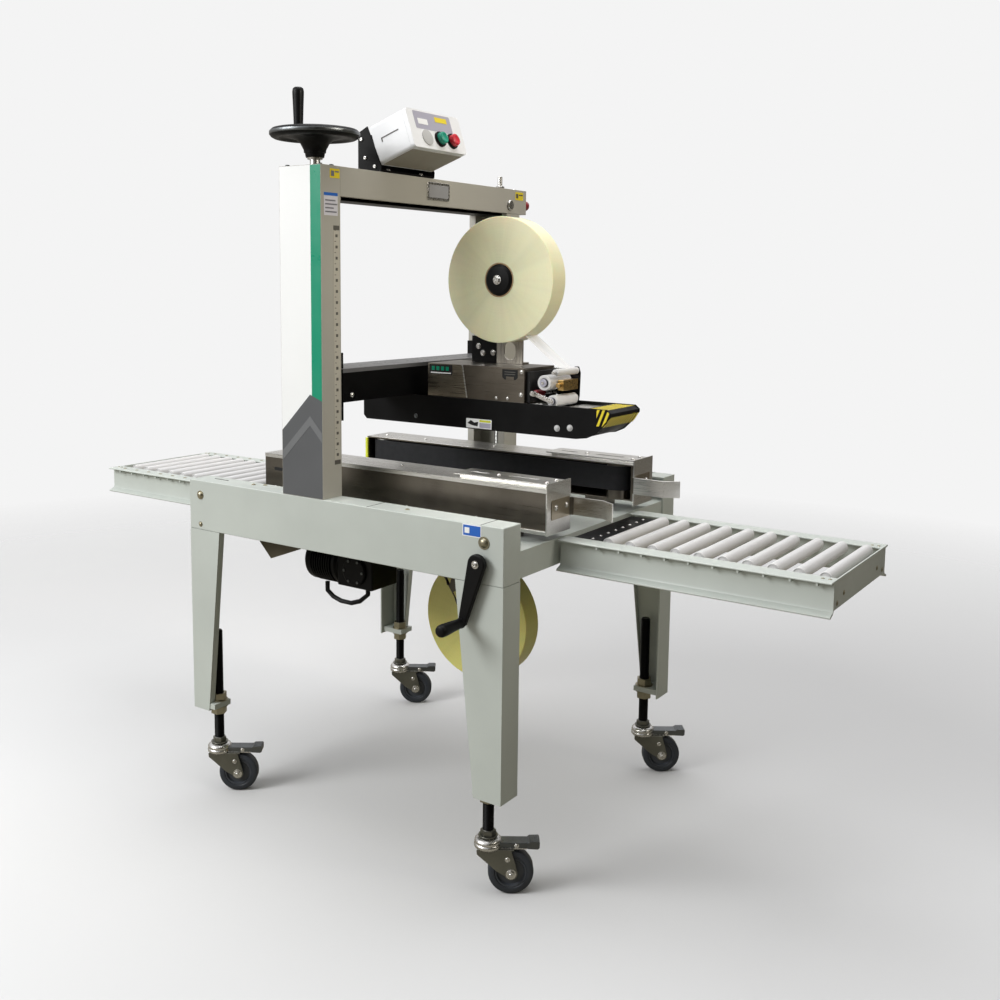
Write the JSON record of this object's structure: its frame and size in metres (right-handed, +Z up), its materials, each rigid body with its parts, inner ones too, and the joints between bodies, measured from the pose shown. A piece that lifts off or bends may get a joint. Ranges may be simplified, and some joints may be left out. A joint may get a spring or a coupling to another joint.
{
  "type": "carton sealer machine",
  "caption": "Semi-automatic side-belt carton sealer with a lifting tape head on a gantry, roller conveyors, a width crank and caster legs.",
  "frame": {"origin": "centre of the bounding box at floor level; the middle line of the conveyors is at y 0.0325, because the crank reaches out past the frame", "axes": "+X along the conveyors towards the infeed end, +Y across the machine away from the crank side, +Z up"},
  "size_m": [2.172, 0.9649, 1.77],
  "materials": {
    "frame_paint": "light grey-green satin paint",
    "column_paint": "warm grey satin paint",
    "stainless": "brushed stainless sheet",
    "zinc": "bright zinc plate",
    "black_paint": "black satin paint",
    "black_plastic": "black moulded plastic",
    "belt_rubber": "matt black drive belt",
    "wheel_tread": "dark grey wheel",
    "tape_film": "clear pale yellow film",
    "box_white": "off-white moulding",
    "roller_plastic": "white plastic tube",
    "button_green": "green push button",
    "button_red": "red push button"
  },
  "bodies": {
    "frame": {"near_side_panel": "frame_paint", "far_side_panel": "frame_paint", "bed_frame": "frame_paint", "leg_near_infeed": "frame_paint", "leg_near_exit": "frame_paint", "leg_far_infeed": "frame_paint", "leg_far_exit": "frame_paint", "near_column": "column_paint", "far_column": "column_paint", "top_beam": "column_paint", "control_box": "box_white", "drive_motor": "black_paint", "motor_lead": "black_plastic", "lower_head": "black_paint", "infeed_conveyor": "frame_paint", "exit_conveyor": "frame_paint"},
    "stem_near_infeed": {"stem_near_infeed": "black_paint"},
    "stem_near_exit": {"stem_near_exit": "black_paint"},
    "stem_far_infeed": {"stem_far_infeed": "black_paint"},
    "stem_far_exit": {"stem_far_exit": "black_paint"},
    "swivel_near_infeed": {"fork_near_infeed": "zinc"},
    "swivel_near_exit": {"fork_near_exit": "zinc"},
    "swivel_far_infeed": {"fork_far_infeed": "zinc"},
    "swivel_far_exit": {"fork_far_exit": "zinc"},
    "wheel_near_infeed": {"wheel_near_infeed": "wheel_tread"},
    "wheel_near_exit": {"wheel_near_exit": "wheel_tread"},
    "wheel_far_infeed": {"wheel_far_infeed": "wheel_tread"},
    "wheel_far_exit": {"wheel_far_exit": "wheel_tread"},
    "lift_head": {"crossarm": "black_paint", "head_frame": "black_paint", "head_cartridge": "stainless", "roll_mast": "stainless"},
    "handwheel": {"handwheel": "black_plastic"},
    "lead_screw_near": {"lead_screw_near": "zinc"},
    "lead_screw_far": {"lead_screw_far": "zinc"},
    "apply_arm": {"apply_arm": "stainless"},
    "apply_roller": {"apply_roller": "roller_plastic"},
    "wipe_roller": {"wipe_roller": "roller_plastic"},
    "upper_roll": {"tape_roll_upper": "tape_film", "roll_hub_upper": "black_plastic"},
    "lower_roll": {"tape_roll_lower": "tape_film"},
    "near_belt_unit": {"near_belt_housing": "stainless", "near_belt": "belt_rubber"},
    "far_belt_unit": {"far_belt_housing": "stainless", "far_belt": "belt_rubber"},
    "near_pulley": {"near_belt_pulley": "zinc"},
    "far_pulley": {"far_belt_pulley": "zinc"},
    "width_crank": {"width_crank": "black_plastic"},
    "start_button": {"start_button": "button_green"},
    "stop_button": {"stop_button": "button_red"},
    "infeed_roller_01": {"infeed_roller_01": "roller_plastic"},
    "infeed_roller_02": {"infeed_roller_02": "roller_plastic"},
    "infeed_roller_03": {"infeed_roller_03": "roller_plastic"},
    "infeed_roller_04": {"infeed_roller_04": "roller_plastic"},
    "infeed_roller_05": {"infeed_roller_05": "roller_plastic"},
    "infeed_roller_06": {"infeed_roller_06": "roller_plastic"},
    "infeed_roller_07": {"infeed_roller_07": "roller_plastic"},
    "infeed_roller_08": {"infeed_roller_08": "roller_plastic"},
    "infeed_roller_09": {"infeed_roller_09": "roller_plastic"},
    "infeed_roller_10": {"infeed_roller_10": "roller_plastic"}
  },
  "joints": [
    {"name": "head_lift", "type": "slide", "parent": "frame", "child": "lift_head", "axis": [0, 0, 1], "range_m": [-0.11, 0.2]},
    {"name": "handwheel_turn", "type": "hinge", "parent": "frame", "child": "handwheel", "pos_m": [-0.066, -0.3495, 1.655], "axis": [0, 0, 1], "range_deg": [-1589, 2885]},
    {"name": "screw_turn_near", "type": "hinge", "parent": "frame", "child": "lead_screw_near", "pos_m": [-0.066, -0.3495, 1], "axis": [0, 0, 1], "range_deg": [-1589, 2885]},
    {"name": "screw_turn_far", "type": "hinge", "parent": "frame", "child": "lead_screw_far", "pos_m": [-0.066, 0.4145, 1], "axis": [0, 0, 1], "range_deg": [-1589, 2885]},
    {"name": "apply_arm_swing", "type": "hinge", "parent": "lift_head", "child": "apply_arm", "pos_m": [0.325, 0.0325, 1.066], "axis": [0, 1, 0], "range_deg": [-6, 20], "stiffness_Nm_per_rad": 4, "springref_deg": -8.59},
    {"name": "apply_roller_spin", "type": "hinge", "parent": "apply_arm", "child": "apply_roller", "pos_m": [0.349, 0.0325, 1.092], "axis": [0, 1, 0], "continuous": true},
    {"name": "wipe_roller_spin", "type": "hinge", "parent": "apply_arm", "child": "wipe_roller", "pos_m": [0.372, 0.0325, 1.05], "axis": [0, 1, 0], "continuous": true},
    {"name": "upper_roll_spin", "type": "hinge", "parent": "lift_head", "child": "upper_roll", "pos_m": [0.205, 0.0325, 1.332], "axis": [0, 1, 0], "continuous": true},
    {"name": "lower_roll_spin", "type": "hinge", "parent": "frame", "child": "lower_roll", "pos_m": [0.145, 0.0325, 0.475], "axis": [0, 1, 0], "continuous": true},
    {"name": "near_belt_slide", "type": "slide", "parent": "frame", "child": "near_belt_unit", "axis": [0, 1, 0], "range_m": [-0.085, 0.07]},
    {"name": "far_belt_slide", "type": "slide", "parent": "frame", "child": "far_belt_unit", "axis": [0, 1, 0], "range_m": [-0.07, 0.085]},
    {"name": "width_crank_turn", "type": "hinge", "parent": "frame", "child": "width_crank", "pos_m": [0.422, -0.3805, 0.744], "axis": [0, 1, 0], "range_deg": [-1229, 1013]},
    {"name": "near_pulley_spin", "type": "hinge", "parent": "near_belt_unit", "child": "near_pulley", "pos_m": [-0.317, -0.1555, 0.845], "axis": [0, 0, 1], "continuous": true},
    {"name": "far_pulley_spin", "type": "hinge", "parent": "far_belt_unit", "child": "far_pulley", "pos_m": [-0.317, 0.2205, 0.845], "axis": [0, 0, 1], "continuous": true},
    {"name": "start_button_press", "type": "slide", "parent": "frame", "child": "start_button", "axis": [-0.9455, 0, -0.3256], "range_m": [0, 0.005], "stiffness_N_per_m": 400, "springref_m": -0.002},
    {"name": "stop_button_press", "type": "slide", "parent": "frame", "child": "stop_button", "axis": [-0.9455, 0, -0.3256], "range_m": [0, 0.005], "stiffness_N_per_m": 400, "springref_m": -0.002},
    {"name": "stem_slide_near_infeed", "type": "slide", "parent": "frame", "child": "stem_near_infeed", "axis": [0, 0, 1], "range_m": [-0.06, 0.05]},
    {"name": "stem_slide_near_exit", "type": "slide", "parent": "frame", "child": "stem_near_exit", "axis": [0, 0, 1], "range_m": [-0.06, 0.05]},
    {"name": "stem_slide_far_infeed", "type": "slide", "parent": "frame", "child": "stem_far_infeed", "axis": [0, 0, 1], "range_m": [-0.06, 0.05]},
    {"name": "stem_slide_far_exit", "type": "slide", "parent": "frame", "child": "stem_far_exit", "axis": [0, 0, 1], "range_m": [-0.06, 0.05]},
    {"name": "swivel_near_infeed", "type": "hinge", "parent": "stem_near_infeed", "child": "swivel_near_infeed", "pos_m": [0.424, -0.3455, 0.128], "axis": [0, 0, 1], "continuous": true},
    {"name": "swivel_near_exit", "type": "hinge", "parent": "stem_near_exit", "child": "swivel_near_exit", "pos_m": [-0.424, -0.3455, 0.128], "axis": [0, 0, 1], "continuous": true},
    {"name": "swivel_far_infeed", "type": "hinge", "parent": "stem_far_infeed", "child": "swivel_far_infeed", "pos_m": [0.424, 0.4105, 0.128], "axis": [0, 0, 1], "continuous": true},
    {"name": "swivel_far_exit", "type": "hinge", "parent": "stem_far_exit", "child": "swivel_far_exit", "pos_m": [-0.424, 0.4105, 0.128], "axis": [0, 0, 1], "continuous": true},
    {"name": "wheel_spin_near_infeed", "type": "hinge", "parent": "swivel_near_infeed", "child": "wheel_near_infeed", "pos_m": [0.46496, -0.31682, 0.05], "axis": [-0.5736, 0.8192, 0], "continuous": true},
    {"name": "wheel_spin_near_exit", "type": "hinge", "parent": "swivel_near_exit", "child": "wheel_near_exit", "pos_m": [-0.38304, -0.31682, 0.05], "axis": [-0.5736, 0.8192, 0], "continuous": true},
    {"name": "wheel_spin_far_infeed", "type": "hinge", "parent": "swivel_far_infeed", "child": "wheel_far_infeed", "pos_m": [0.46496, 0.43918, 0.05], "axis": [-0.5736, 0.8192, 0], "continuous": true},
    {"name": "wheel_spin_far_exit", "type": "hinge", "parent": "swivel_far_exit", "child": "wheel_far_exit", "pos_m": [-0.38304, 0.43918, 0.05], "axis": [-0.5736, 0.8192, 0], "continuous": true},
    {"name": "infeed_roller_01_spin", "type": "hinge", "parent": "frame", "child": "infeed_roller_01", "pos_m": [0.577, 0.0325, 0.7545], "axis": [0, 1, 0], "continuous": true},
    {"name": "infeed_roller_02_spin", "type": "hinge", "parent": "frame", "child": "infeed_roller_02", "pos_m": [0.6303, 0.0325, 0.7545], "axis": [0, 1, 0], "continuous": true},
    {"name": "infeed_roller_03_spin", "type": "hinge", "parent": "frame", "child": "infeed_roller_03", "pos_m": [0.6836, 0.0325, 0.7545], "axis": [0, 1, 0], "continuous": true},
    {"name": "infeed_roller_04_spin", "type": "hinge", "parent": "frame", "child": "infeed_roller_04", "pos_m": [0.7369, 0.0325, 0.7545], "axis": [0, 1, 0], "continuous": true},
    {"name": "infeed_roller_05_spin", "type": "hinge", "parent": "frame", "child": "infeed_roller_05", "pos_m": [0.7902, 0.0325, 0.7545], "axis": [0, 1, 0], "continuous": true},
    {"name": "infeed_roller_06_spin", "type": "hinge", "parent": "frame", "child": "infeed_roller_06", "pos_m": [0.8435, 0.0325, 0.7545], "axis": [0, 1, 0], "continuous": true},
    {"name": "infeed_roller_07_spin", "type": "hinge", "parent": "frame", "child": "infeed_roller_07", "pos_m": [0.8968, 0.0325, 0.7545], "axis": [0, 1, 0], "continuous": true},
    {"name": "infeed_roller_08_spin", "type": "hinge", "parent": "frame", "child": "infeed_roller_08", "pos_m": [0.9501, 0.0325, 0.7545], "axis": [0, 1, 0], "continuous": true},
    {"name": "infeed_roller_09_spin", "type": "hinge", "parent": "frame", "child": "infeed_roller_09", "pos_m": [1.0034, 0.0325, 0.7545], "axis": [0, 1, 0], "continuous": true},
    {"name": "infeed_roller_10_spin", "type": "hinge", "parent": "frame", "child": "infeed_roller_10", "pos_m": [1.0567, 0.0325, 0.7545], "axis": [0, 1, 0], "continuous": true}
  ],
  "couplings": [
    {"joint": "handwheel_turn", "follows": "head_lift", "rad_per_m": 251.33},
    {"joint": "screw_turn_near", "follows": "head_lift", "rad_per_m": 251.33},
    {"joint": "screw_turn_far", "follows": "head_lift", "rad_per_m": 251.33},
    {"joint": "far_belt_slide", "follows": "near_belt_slide", "ratio": -1},
    {"joint": "width_crank_turn", "follows": "near_belt_slide", "rad_per_m": 251.33}
  ]
}
